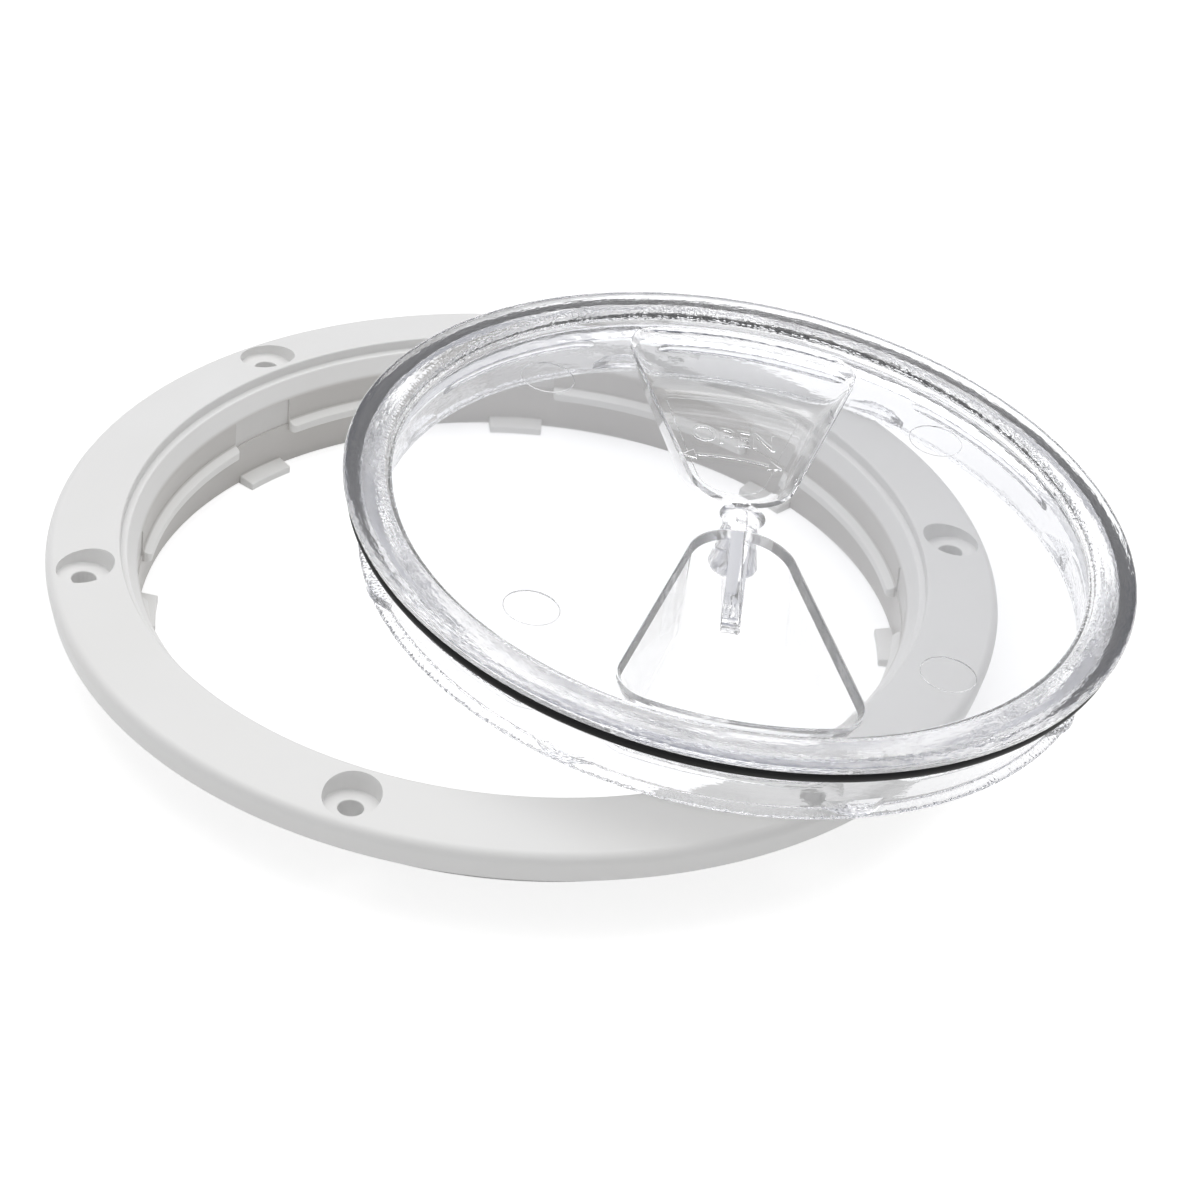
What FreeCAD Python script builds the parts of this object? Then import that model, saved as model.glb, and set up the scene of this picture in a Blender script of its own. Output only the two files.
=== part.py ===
import FreeCAD, Part
import math
import os

import Sketcher
from FreeCAD import Placement, Rotation, Vector

# A round deck inspection plate for a boat: a white flange ring that is screwed over a hole in
# the deck, a clear lid that drops into it and turns to lock, and the seal round the lid's neck.
# The lid is off and leans on the ring, as when the hatch is open.
#
# Frame: millimetres, +Z up out of the deck. The origin is on the ring's axis, level with the
# underside of the flange, which is the face that sits on the deck.

SIZES = (
    ("flange_width", 16.4, "flange's top, recess to its sharp outer edge"),
    ("flange_draft", 1.5, "how far the flange's outer wall leans in towards the deck"),
    ("flange_height", 10.1, "deck to the highest line of the flange, round the recess"),
    ("flange_slope", 0.196, "fall of the flange's top for each millimetre outwards"),
    ("recess_depth", 2.4, "flange top to the ledge"),
    ("ledge_width", 1.5, "flat ledge inside the recess, which takes the lid's rim"),
    ("seat_width", 2.6, "cone that the seal presses on, bore to ledge"),
    ("seat_depth", 6.5, "flange top to the foot of that cone"),
    ("collar_diameter", 172.0, "collar, which goes down through the deck"),
    ("collar_wall", 3.0, "wall of the collar"),
    ("collar_depth", 13.2, "collar below the deck's surface"),
    ("core_inset", 3.5, "wall between the collar and the hollow under the flange"),
    ("core_rim", 3.0, "flange's outer wall beside that hollow, at the top edge"),
    ("core_roof", 3.0, "flange's top over that hollow"),
    ("web_count", 12.0, "stiffening webs in the hollow"),
    ("web_angle", 1.3, "angle that one web takes"),
    ("screw_count", 6.0, "deck screws"),
    ("screw_azimuth", 12.7, "direction of the first screw"),
    ("screw_hole", 5.3, "clearance hole for a deck screw"),
    ("screw_head", 12.2, "counterbore for its head"),
    ("head_depth", 3.2, "counterbore, measured down from the sloping top"),
    ("head_cove", 0.7, "bevel at the counterbore's floor"),
    ("boss_wall", 0.4, "wall of the boss round each screw's head, in the hollow"),
    ("boss_inset", 0.5, "boss to the flange's lower edge"),
    ("boss_skin", 0.3, "boss top to the flange's top at its outer edge"),
    ("rib_count", 8.0, "locking ribs inside the collar"),
    ("rib_azimuth", 27.3, "direction of the middle of one rib"),
    ("gap_angle", 11.4, "gap between two ribs"),
    ("rib_reach", 2.0, "rib, inwards from the bore"),
    ("rib_top", 11.6, "flange top to the rib's upper face, at the bore"),
    ("rib_fall", 1.1, "fall of the rib's upper face towards its edge"),
    ("rib_under", 14.5, "flange top to the rib's level underside"),
    ("rib_end_round", 1.2, "round at the two ends of a rib"),
    ("relief_depth", 0.35, "shallow slot in the bore over each gap"),
    ("tab_angle", 8.6, "stop tab under each gap"),
    ("tab_reach", 4.0, "stop tab, inwards from the bore"),
    ("tab_height", 2.3, "stop tab at its root"),
    ("tab_fall", 0.5, "fall of the tab's upper face towards its edge"),
    ("edge_bevel", 0.7, "bevel at the flange's top edge"),
    ("deck_bevel", 0.7, "bevel at the flange's lower edge"),
    ("recess_bevel", 0.25, "bevel at the recess's edge"),
    ("collar_bevel", 0.6, "bevel at the collar's lower edge"),
    ("rim_clearance", 0.9, "lid's rim to the recess wall"),
    ("rim_taper", 0.8, "how far the rim's edge leans in below its widest line"),
    ("rim_height", 1.8, "rim's edge, widest line to underside"),
    ("crown_width", 9.4, "raised band round the lid"),
    ("crown_height", 1.8, "raised band above the plate"),
    ("plate_thickness", 3.0, "lid's flat plate"),
    ("rim_drop", 0.5, "flange top to the rim's widest line with the lid closed"),
    ("skirt_clearance", 2.4, "lid's skirt to the ring's ribs"),
    ("skirt_wall", 2.2, "wall of the skirt"),
    ("skirt_depth", 17.7, "rim's widest line to the foot of the skirt"),
    ("groove_height", 3.2, "groove for the seal, under the rim"),
    ("lip_clearance", 0.3, "lip below the groove to the bore"),
    ("lip_height", 0.9, "lip below the groove"),
    ("lip_lead", 0.2, "bevel at the top of the lip"),
    ("shoulder_fall", 2.0, "cone between the lip and the skirt"),
    ("foot_clearance", 0.6, "foot bead to the ring's ribs"),
    ("foot_height", 1.3, "foot bead"),
    ("foot_bevel", 0.3, "bevel at the foot bead's lower and upper edge"),
    ("foot_flat", 0.8, "flat underside of the foot bead"),
    ("foot_lead", 1.3, "bevel inside the foot, from that flat up to the skirt's inner wall"),
    ("guide_depth", 9.0, "rim's widest line to the middle of the guide bead"),
    ("guide_height", 1.8, "guide bead"),
    ("lug_azimuth", 19.5, "direction of one locking lug, in the lid"),
    ("lug_clearance", 1.0, "angle left when a lug passes a gap"),
    ("lug_wall_gap", 0.8, "lug to the bore"),
    ("lug_play", 0.1, "lug to the rib's underside with the lid closed"),
    ("lug_height", 2.0, "locking lug"),
    ("well_depth", 13.2, "finger well, plate to floor"),
    ("well_wall", 1.5, "wall and floor of a finger well"),
    ("mouth_nose_radius", 11.6, "well's mouth: round at the narrow end"),
    ("mouth_nose_place", 17.0, "well's mouth: centre of that round, from the lid's centre"),
    ("mouth_half_angle", 16.9, "well's mouth: half the angle between its sides"),
    ("mouth_gap", 3.8, "well's mouth: wide end to the skirt's inner wall"),
    ("mouth_corner", 6.0, "well's mouth: corners at the wide end"),
    ("floor_nose_radius", 11.7, "well's floor: round at the narrow end"),
    ("floor_nose_place", 35.7, "well's floor: centre of that round"),
    ("floor_half_angle", 14.6, "well's floor: half the angle between its sides"),
    ("floor_gap", 9.2, "well's floor: wide end to the skirt's inner wall"),
    ("floor_corner", 4.5, "well's floor: corners at the wide end"),
    ("mouth_round", 0.4, "round at the well's mouth"),
    ("keel_thickness", 4.4, "keel that joins the two wells under the plate"),
    ("keel_lift", 0.2, "keel's lower edge above the underside of the wells"),
    ("hub_neck", 6.8, "hub under the lid's centre, at the plate"),
    ("hub_foot", 11.8, "hub at its lower end"),
    ("hub_depth", 13.0, "hub, plate top to lower end"),
    ("dimple_gap", 0.2, "flat left between the wells' mouths and the dimple at the centre"),
    ("dimple_depth", 0.4, "that dimple"),
    ("gate_diameter", 2.4, "moulding gate's stub in the dimple"),
    ("pin_diameter", 12.0, "round ejector mark under the plate"),
    ("pin_depth", 0.25, "ejector mark"),
    ("pin_gap", 14.6, "ejector mark's centre to the skirt's inner wall"),
    ("seal_section", 3.0, "seal's round section"),
    ("seal_squeeze", 0.35, "how far the closed lid presses the seal into the seat"),
    ("seal_fit", 0.05, "seal to its groove while the lid is off"),
    ("lid_shift", 44.2, "opened lid: foot circle's centre, out from the ring's axis"),
    ("lid_azimuth", -4.82, "opened lid: direction of that shift"),
    ("lid_turn", 6.63, "opened lid: its own turn"),
    ("rest_gap", 0.08, "opened lid: air left under its foot"),
)


class Size:
    """A number, with the sheet expression that gives it."""

    def __init__(self, value, text=None):
        self.value = float(value)
        self.text = text or repr(float(value))

    def __add__(self, other):
        other = as_size(other)
        return Size(self.value + other.value, "(" + self.text + " + " + other.text + ")")

    def __sub__(self, other):
        other = as_size(other)
        return Size(self.value - other.value, "(" + self.text + " - " + other.text + ")")

    def __mul__(self, other):
        other = as_size(other)
        return Size(self.value * other.value, "(" + self.text + " * " + other.text + ")")

    def __truediv__(self, other):
        other = as_size(other)
        return Size(self.value / other.value, "(" + self.text + " / " + other.text + ")")

    def __neg__(self):
        return Size(0) - self


def as_size(value):
    return value if isinstance(value, Size) else Size(value)


def cosine(angle):
    return Size(math.cos(math.radians(angle.value)), "cos(" + angle.text + ")")


def sine(angle):
    return Size(math.sin(math.radians(angle.value)), "sin(" + angle.text + ")")


ZERO = Size(0)

doc = FreeCAD.newDocument("deck_plate")
sheet = doc.addObject("Spreadsheet::Sheet", "sizes")
size = {}
for row, (alias, number, note) in enumerate(SIZES, start=1):
    sheet.set("A" + str(row), note)
    sheet.set("B" + str(row), str(number))
    sheet.setAlias("B" + str(row), alias)
doc.recompute()
for alias, number, note in SIZES:
    size[alias] = Size(sheet.get(alias), "sizes." + alias)

# Lines that more than one piece is built from. Ring heights are measured up from the deck,
# lid heights from the rim's widest line, which is also the top of its flat plate.

collar_radius = size["collar_diameter"] / 2
bore_radius = collar_radius - size["collar_wall"]
seat_radius = bore_radius + size["seat_width"]
recess_radius = seat_radius + size["ledge_width"]
flange_radius = recess_radius + size["flange_width"]
boss_radius = size["screw_head"] / 2 + size["boss_wall"]
screw_radius = flange_radius - size["flange_draft"] - size["boss_inset"] - boss_radius
flange_top = size["flange_height"]
ledge_level = flange_top - size["recess_depth"]
seat_level = flange_top - size["seat_depth"]
collar_foot = -size["collar_depth"]
rib_radius = bore_radius - size["rib_reach"]
rib_pitch = Size(360) / size["rib_count"]

rim_radius = recess_radius - size["rim_clearance"]
rim_under = -size["rim_height"]
seal_level = rim_under - size["seal_fit"] - size["seal_section"] / 2
seal_seat_drop = size["rim_drop"] - seal_level - size["recess_depth"]
seat_cone = (seat_radius - bore_radius) / (size["seat_depth"] - size["recess_depth"])
seal_outside = seat_radius - seat_cone * seal_seat_drop + size["seal_squeeze"]
seal_radius = seal_outside - size["seal_section"] / 2
neck_radius = seal_outside - size["seal_section"] - size["seal_fit"]
skirt_radius = rib_radius - size["skirt_clearance"]
skirt_inside = skirt_radius - size["skirt_wall"]
skirt_foot = -size["skirt_depth"]
foot_radius = rib_radius - size["foot_clearance"]
foot_inside = foot_radius - size["foot_bevel"] - size["foot_flat"]


def flange_level(radius):
    """Height of the flange's sloping top at a radius."""
    return flange_top - size["flange_slope"] * (radius - recess_radius)


def origin_feature(body, role):
    return next(item for item in body.Origin.OriginFeatures if item.Role == role)


def new_body(name):
    body = doc.addObject("PartDesign::Body", name)
    body.Label = name
    return body


def new_sketch(body, name, plane, level=None, turn=None):
    """A sketch on one of the body's own planes, raised to a level or turned about Z."""
    sketch = body.newObject("Sketcher::SketchObject", name)
    sketch.AttachmentSupport = [(origin_feature(body, plane), "")]
    sketch.MapMode = "FlatFace"
    if level is not None:
        sketch.AttachmentOffset = Placement(Vector(0, 0, level.value), Rotation())
        sketch.setExpression("AttachmentOffset.Base.z", level.text)
    if turn is not None:
        sketch.AttachmentOffset = Placement(Vector(), Rotation(Vector(0, 1, 0), turn.value))
        sketch.setExpression("AttachmentOffset.Rotation.Angle", turn.text)
    return sketch


def drive(sketch, constraint, amount):
    """Add a constraint whose size the sheet gives."""
    sketch.setExpression("Constraints[" + str(sketch.addConstraint(constraint)) + "]", amount.text)


def pin_point(sketch, edge, end, place):
    """Hold one end of an edge at a place given by two sizes."""
    x, y = place
    if x is ZERO:
        sketch.addConstraint(Sketcher.Constraint("PointOnObject", edge, end, -2))
    else:
        drive(sketch, Sketcher.Constraint("DistanceX", -1, 1, edge, end, x.value), x)
    if y is ZERO:
        sketch.addConstraint(Sketcher.Constraint("PointOnObject", edge, end, -1))
    else:
        drive(sketch, Sketcher.Constraint("DistanceY", -1, 1, edge, end, y.value), y)


def draw_section(sketch, corners, crown=None):
    """Close an outline through corners. crown is (edge, rise): that edge bulges upwards."""
    points = [Vector(x.value, y.value, 0) for x, y in corners]
    count = len(points)
    ends = []
    for edge in range(count):
        start = points[edge]
        finish = points[(edge + 1) % count]
        if crown is not None and edge == crown[0]:
            top = (start + finish) * 0.5 + Vector(0, crown[1].value, 0)
            sketch.addGeometry(Part.Arc(finish, top, start))
            ends.append((2, 1))
        else:
            sketch.addGeometry(Part.LineSegment(start, finish))
            ends.append((1, 2))
    for edge in range(count):
        follower = (edge + 1) % count
        sketch.addConstraint(
            Sketcher.Constraint("Coincident", edge, ends[edge][1], follower, ends[follower][0])
        )
        pin_point(sketch, edge, ends[edge][0], corners[edge])
    if crown is not None:
        edge, rise = crown
        half = (corners[(edge + 1) % count][0] - corners[edge][0]) / 2
        radius = (half * half + rise * rise) / (rise * 2)
        drive(sketch, Sketcher.Constraint("Radius", edge, radius.value), radius)


def draw_circle(sketch, place, diameter):
    edge = sketch.addGeometry(
        Part.Circle(Vector(place[0].value, place[1].value, 0), Vector(0, 0, 1), diameter.value / 2)
    )
    pin_point(sketch, edge, 3, place)
    drive(sketch, Sketcher.Constraint("Diameter", edge, diameter.value), diameter)


def add_feature(body, kind, name, sketch):
    feature = body.newObject("PartDesign::" + kind, name)
    feature.Profile = sketch
    return feature


def turn_section(body, kind, name, sketch, angle=None):
    """Spin a section about the body's axis: all round, or through an angle about its plane."""
    feature = add_feature(body, kind, name, sketch)
    feature.ReferenceAxis = (sketch, ["V_Axis"])
    if angle is None:
        feature.Angle = 360
    else:
        feature.Midplane = True
        feature.setExpression("Angle", angle.text)
    return feature


def repeat_round(body, feature, count):
    """Copies of a feature, evenly spaced round the body's axis."""
    pattern = body.newObject("PartDesign::PolarPattern", feature.Name + "_round")
    pattern.Originals = [feature]
    pattern.Axis = (origin_feature(body, "Z_Axis"), [""])
    pattern.Angle = 360
    pattern.setExpression("Occurrences", count.text)
    body.Tip = pattern
    return pattern


def sector(body, kind, name, corners, turn, angle, count):
    """A section spun through a short angle, then repeated round the axis."""
    sketch = new_sketch(body, name + "_section", "XZ_Plane", turn=turn)
    draw_section(sketch, corners)
    feature = turn_section(body, kind, name, sketch, angle)
    return repeat_round(body, feature, count)


def edges_where(shape, wanted):
    """Names of the edges whose two ends and middle all pass a test."""
    names = []
    for number, edge in enumerate(shape.Edges, start=1):
        first = edge.FirstParameter
        last = edge.LastParameter
        spots = [edge.valueAt(spot) for spot in (first, (first + last) / 2, last)]
        if all(wanted(spot) for spot in spots):
            names.append("Edge" + str(number))
    return names


def dress_edges(body, kind, name, amount, wanted):
    """Fillet or Chamfer the edges that pass a test."""
    doc.recompute()
    base = body.Tip
    feature = body.newObject("PartDesign::" + kind, name)
    feature.Base = (base, edges_where(base.Shape, wanted))
    feature.setExpression("Radius" if kind == "Fillet" else "Size", amount.text)
    body.Tip = feature
    return feature


def on_circle(radius, level):
    """Test for a spot on a circle about the axis."""

    def wanted(spot):
        away = abs(math.hypot(spot.x, spot.y) - radius.value)
        return away < 0.01 and abs(spot.z - level.value) < 0.01

    return wanted


def make_ring():
    body = new_body("flange_ring")
    flange_edge = flange_level(flange_radius)
    deck_radius = flange_radius - size["flange_draft"]
    section = new_sketch(body, "ring_section", "XZ_Plane")
    draw_section(
        section,
        (
            (collar_radius, collar_foot),
            (bore_radius, collar_foot),
            (bore_radius, seat_level),
            (seat_radius, ledge_level),
            (recess_radius, ledge_level),
            (recess_radius, flange_top),
            (flange_radius, flange_edge),
            (deck_radius, ZERO),
            (collar_radius, ZERO),
        ),
    )
    turn_section(body, "Revolution", "ring", section)

    core_inside = collar_radius + size["core_inset"]
    core_outside = flange_radius - size["core_rim"]
    web_pitch = Size(360) / size["web_count"]
    sector(
        body,
        "Groove",
        "core",
        (
            (core_inside, ZERO),
            (core_outside - size["flange_draft"], ZERO),
            (core_outside, flange_level(core_outside) - size["core_roof"]),
            (core_inside, flange_level(core_inside) - size["core_roof"]),
        ),
        size["screw_azimuth"] + web_pitch / 2,
        web_pitch - size["web_angle"],
        size["web_count"],
    )

    screw_place = (
        screw_radius * cosine(size["screw_azimuth"]),
        screw_radius * sine(size["screw_azimuth"]),
    )
    boss_sketch = new_sketch(body, "boss_outline", "XY_Plane")
    draw_circle(boss_sketch, screw_place, boss_radius * 2)
    boss = add_feature(body, "Pad", "boss", boss_sketch)
    boss_edge = screw_radius + boss_radius
    boss.setExpression("Length", (flange_level(boss_edge) - size["boss_skin"]).text)
    repeat_round(body, boss, size["screw_count"])

    # The ribs hold the lid's lugs down. A tab under each gap stops what drops through it, and
    # so ring and ribs come straight out of a mould with two halves.
    rib_root = bore_radius + size["collar_wall"] / 2
    root_rise = size["rib_fall"] * (rib_root - bore_radius) / size["rib_reach"]
    rib_upper = flange_top - size["rib_top"]
    sector(
        body,
        "Revolution",
        "rib",
        (
            (rib_root, flange_top - size["rib_under"]),
            (rib_root, rib_upper + root_rise),
            (rib_radius, rib_upper - size["rib_fall"]),
            (rib_radius, flange_top - size["rib_under"]),
        ),
        size["rib_azimuth"],
        rib_pitch - size["gap_angle"],
        size["rib_count"],
    )
    tab_radius = bore_radius - size["tab_reach"]
    tab_upper = collar_foot + size["tab_height"]
    gap_azimuth = size["rib_azimuth"] + rib_pitch / 2
    sector(
        body,
        "Revolution",
        "tab",
        (
            (rib_root, collar_foot),
            (rib_root, tab_upper),
            (tab_radius, tab_upper - size["tab_fall"]),
            (tab_radius, collar_foot),
        ),
        gap_azimuth,
        size["tab_angle"],
        size["rib_count"],
    )
    relief_radius = bore_radius + size["relief_depth"]
    sector(
        body,
        "Groove",
        "relief",
        (
            (rib_radius, rib_upper - size["rib_fall"]),
            (relief_radius, rib_upper - size["rib_fall"]),
            (relief_radius, seat_level + size["relief_depth"]),
            (rib_radius, seat_level + size["relief_depth"]),
        ),
        gap_azimuth,
        size["gap_angle"],
        size["rib_count"],
    )

    rib_lower = flange_top - size["rib_under"]
    rib_edge = rib_upper - size["rib_fall"]

    def at_rib_end(spot):
        """On the rib's inner face and not in the middle of it: an upright edge at its end."""
        away = abs(math.hypot(spot.x, spot.y) - rib_radius.value)
        inside = rib_lower.value - 0.01 < spot.z < rib_edge.value + 0.01
        from_middle = math.degrees(math.atan2(spot.y, spot.x)) - size["rib_azimuth"].value
        off_pitch = abs((from_middle + rib_pitch.value / 2) % rib_pitch.value - rib_pitch.value / 2)
        half_rib = (rib_pitch.value - size["gap_angle"].value) / 2
        return away < 0.01 and inside and abs(off_pitch - half_rib) < 0.01

    dress_edges(body, "Fillet", "rib_ends", size["rib_end_round"], at_rib_end)

    doc.recompute()
    screw_sketch = new_sketch(body, "screw_places", "XY_Plane", level=flange_top)
    draw_circle(screw_sketch, screw_place, size["screw_hole"])
    head_level = flange_level(screw_radius) - size["head_depth"]
    hole = add_feature(body, "Hole", "screw_hole", screw_sketch)
    doc.recompute()
    hole.DepthType = "ThroughAll"
    hole.setExpression("Diameter", size["screw_hole"].text)
    hole.HoleCutType = "Counterbore"
    hole.setExpression("HoleCutDiameter", size["screw_head"].text)
    hole.setExpression("HoleCutDepth", (flange_top - head_level).text)
    repeat_round(body, hole, size["screw_count"])

    def in_counterbore(spot):
        turn = math.radians(size["screw_azimuth"].value)
        step = 2 * math.pi / size["screw_count"].value
        count = round((math.atan2(spot.y, spot.x) - turn) / step)
        centre_x = screw_radius.value * math.cos(turn + count * step)
        centre_y = screw_radius.value * math.sin(turn + count * step)
        away = math.hypot(spot.x - centre_x, spot.y - centre_y)
        on_wall = abs(away - size["screw_head"].value / 2) < 0.01
        return on_wall and abs(spot.z - head_level.value) < 0.01

    for name, amount, wanted in (
        ("head_cove", size["head_cove"], in_counterbore),
        ("edge_bevel", size["edge_bevel"], on_circle(flange_radius, flange_edge)),
        ("deck_bevel", size["deck_bevel"], on_circle(deck_radius, ZERO)),
        ("recess_bevel", size["recess_bevel"], on_circle(recess_radius, flange_top)),
        ("collar_bevel", size["collar_bevel"], on_circle(collar_radius, collar_foot)),
    ):
        dress_edges(body, "Chamfer", name, amount, wanted)
    return body


def draw_well(sketch, prefix, grow):
    """Outline of a finger well: a round nose, two straight sides, a wide end with corners.

    The nose is near the lid's centre, the wide end is an arc about that centre, and all six
    edges run into each other. grow moves the whole outline outwards, for the well's wall.
    """
    nose = size[prefix + "_nose_radius"] + grow
    place = size[prefix + "_nose_place"]
    reach = skirt_inside - size[prefix + "_gap"] + grow
    corner = size[prefix + "_corner"] + grow
    lean = size[prefix + "_half_angle"]

    # The corner's centre lies inside the side by its own radius, and inside the end as well.
    slant = math.radians(lean.value)
    along = Vector(math.sin(slant), math.cos(slant), 0)
    out = Vector(math.cos(slant), -math.sin(slant), 0)
    middle = Vector(0, place.value, 0)
    start = middle + out * (nose.value - corner.value)
    inner = reach.value - corner.value
    run = -start.dot(along) + math.sqrt(start.dot(along) ** 2 - start.dot(start) + inner**2)
    centre = start + along * run
    nose_end = middle + out * nose.value
    side_end = centre + out * corner.value
    arc_end = centre * (reach.value / inner)
    bend = (out + centre.normalize()).normalize()
    bend_middle = start + along * run + bend * corner.value

    def mirrored(point):
        return Vector(-point.x, point.y, 0)

    nose_tip = Vector(0, place.value - nose.value, 0)
    end_tip = Vector(0, reach.value, 0)
    sketch.addGeometry(Part.Arc(mirrored(nose_end), nose_tip, nose_end))
    sketch.addGeometry(Part.LineSegment(nose_end, side_end))
    sketch.addGeometry(Part.Arc(side_end, bend_middle, arc_end))
    sketch.addGeometry(Part.Arc(arc_end, end_tip, mirrored(arc_end)))
    sketch.addGeometry(Part.Arc(mirrored(arc_end), mirrored(bend_middle), mirrored(side_end)))
    sketch.addGeometry(Part.LineSegment(mirrored(nose_end), mirrored(side_end)))
    for first, first_end, second, second_end in (
        (0, 2, 1, 1),
        (1, 2, 2, 1),
        (2, 2, 3, 1),
        (3, 2, 4, 1),
        (4, 2, 5, 2),
        (5, 1, 0, 1),
    ):
        sketch.addConstraint(
            Sketcher.Constraint("Tangent", first, first_end, second, second_end)
        )
    pin_point(sketch, 0, 3, (ZERO, place))
    sketch.addConstraint(Sketcher.Constraint("Coincident", 3, 3, -1, 1))
    for edge, radius in ((0, nose), (2, corner), (3, reach), (4, corner)):
        drive(sketch, Sketcher.Constraint("Radius", edge, radius.value), radius)
    right_lean = Size(90) - lean
    left_lean = Size(90) + lean
    for edge, angle in ((1, right_lean), (5, left_lean)):
        drive(sketch, Sketcher.Constraint("Angle", edge, math.radians(angle.value)), angle)


def loft_well(body, kind, name, grow, depth):
    """Loft a well from its mouth in the plate down to its floor, then repeat it opposite."""
    mouth = new_sketch(body, name + "_mouth", "XY_Plane")
    draw_well(mouth, "mouth", grow)
    floor = new_sketch(body, name + "_floor", "XY_Plane", level=-depth)
    draw_well(floor, "floor", grow)
    loft = add_feature(body, kind, name, mouth)
    loft.Sections = [floor]
    loft.Ruled = True
    return repeat_round(body, loft, Size(2))


def make_lid():
    body = new_body("clear_lid")
    crown_inside = rim_radius - size["crown_width"]
    lip_radius = bore_radius - size["lip_clearance"]
    lip_top = rim_under - size["groove_height"]
    lip_foot = lip_top - size["lip_lead"] - size["lip_height"]
    bead_top = skirt_foot + size["foot_height"]
    under_plate = -size["plate_thickness"]
    section = new_sketch(body, "lid_section", "XZ_Plane")
    draw_section(
        section,
        (
            (ZERO, ZERO),
            (crown_inside, ZERO),
            (rim_radius, ZERO),
            (rim_radius - size["rim_taper"], rim_under),
            (neck_radius, rim_under),
            (neck_radius, lip_top),
            (lip_radius, lip_top - size["lip_lead"]),
            (lip_radius, lip_foot),
            (skirt_radius, lip_foot - size["shoulder_fall"]),
            (skirt_radius, bead_top + size["foot_bevel"]),
            (foot_radius, bead_top),
            (foot_radius, skirt_foot + size["foot_bevel"]),
            (foot_radius - size["foot_bevel"], skirt_foot),
            (foot_inside, skirt_foot),
            (skirt_inside, skirt_foot + size["foot_lead"]),
            (skirt_inside, under_plate),
            (ZERO, under_plate),
        ),
        crown=(1, size["crown_height"]),
    )
    turn_section(body, "Revolution", "lid", section)

    # The guide bead keeps the skirt central between the ribs. It stops either side of each
    # lug, and the lug passes down a gap and turns under a rib.
    lug_angle = size["gap_angle"] - size["lug_clearance"]
    bead_angle = rib_pitch - size["gap_angle"]
    guide_level = -size["guide_depth"]
    half_guide = size["guide_height"] / 2
    skirt_middle = skirt_radius - size["skirt_wall"] / 2
    sector(
        body,
        "Revolution",
        "guide_bead",
        (
            (skirt_middle, guide_level + half_guide),
            (foot_radius - size["foot_bevel"], guide_level + half_guide),
            (foot_radius, guide_level),
            (foot_radius - size["foot_bevel"], guide_level - half_guide),
            (skirt_middle, guide_level - half_guide),
        ),
        size["lug_azimuth"] + rib_pitch / 2,
        bead_angle,
        size["rib_count"],
    )
    lug_top = size["rim_drop"] - size["rib_under"] - size["lug_play"]
    lug_foot = lug_top - size["lug_height"]
    lug_radius = bore_radius - size["lug_wall_gap"]
    sector(
        body,
        "Revolution",
        "lug",
        (
            (skirt_middle, lug_top),
            (lug_radius - size["foot_bevel"], lug_top),
            (lug_radius, lug_top - size["foot_bevel"]),
            (lug_radius, lug_foot + size["foot_bevel"]),
            (lug_radius - size["foot_bevel"], lug_foot),
            (skirt_middle, lug_foot),
        ),
        size["lug_azimuth"],
        lug_angle,
        size["rib_count"],
    )

    loft_well(body, "AdditiveLoft", "well_shell", size["well_wall"], size["well_depth"] + size["well_wall"])
    half_keel = size["keel_thickness"] / 2
    keel_reach = size["floor_nose_place"]
    keel_sketch = new_sketch(body, "keel_outline", "XY_Plane", level=under_plate / 2)
    draw_section(
        keel_sketch,
        (
            (-half_keel, -keel_reach),
            (half_keel, -keel_reach),
            (half_keel, keel_reach),
            (-half_keel, keel_reach),
        ),
    )
    keel = add_feature(body, "Pad", "keel", keel_sketch)
    keel.Reversed = True
    keel_depth = size["well_depth"] + size["well_wall"] - size["keel_lift"]
    keel.setExpression("Length", (keel_depth + under_plate / 2).text)
    body.Tip = keel
    hub_sketch = new_sketch(body, "hub_section", "XZ_Plane")
    draw_section(
        hub_sketch,
        (
            (ZERO, under_plate / 2),
            (size["hub_neck"] / 2, under_plate / 2),
            (size["hub_neck"] / 2, under_plate),
            (size["hub_foot"] / 2, -size["hub_depth"]),
            (ZERO, -size["hub_depth"]),
        ),
    )
    turn_section(body, "Revolution", "hub", hub_sketch)
    loft_well(body, "SubtractiveLoft", "well", ZERO, size["well_depth"])

    well_gap = size["mouth_nose_place"] - size["mouth_nose_radius"] - size["mouth_round"]
    dimple_radius = well_gap - size["dimple_gap"]
    dimple_sketch = new_sketch(body, "dimple_section", "XZ_Plane")
    draw_section(
        dimple_sketch,
        (
            (size["gate_diameter"] / 2, ZERO),
            (dimple_radius, ZERO),
            (dimple_radius - size["dimple_depth"], -size["dimple_depth"]),
            (size["gate_diameter"] / 2, -size["dimple_depth"]),
        ),
    )
    turn_section(body, "Groove", "dimple", dimple_sketch)
    eighth_turn = Size(45)
    pin_sketch = new_sketch(body, "pin_mark_outline", "XY_Plane", level=under_plate)
    pin_radius = skirt_inside - size["pin_gap"]
    pin_place = (pin_radius * cosine(eighth_turn), pin_radius * sine(eighth_turn))
    draw_circle(pin_sketch, pin_place, size["pin_diameter"])
    pin_mark = add_feature(body, "Pocket", "pin_mark", pin_sketch)
    pin_mark.Reversed = True
    pin_mark.setExpression("Length", size["pin_depth"].text)
    repeat_round(body, pin_mark, Size(4))

    mouth_end = skirt_inside - size["mouth_gap"]

    def at_mouth(spot):
        away = math.hypot(spot.x, spot.y)
        beyond_dimple = away > dimple_radius.value + 0.01
        return beyond_dimple and away < mouth_end.value + 0.01 and abs(spot.z) < 0.001

    dress_edges(body, "Fillet", "mouth_rounds", size["mouth_round"], at_mouth)
    return body


def make_seal():
    body = new_body("o_ring")
    section = new_sketch(body, "seal_section", "XZ_Plane")
    draw_circle(section, (seal_radius, seal_level), size["seal_section"])
    turn_section(body, "Revolution", "seal", section)
    return body


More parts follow.
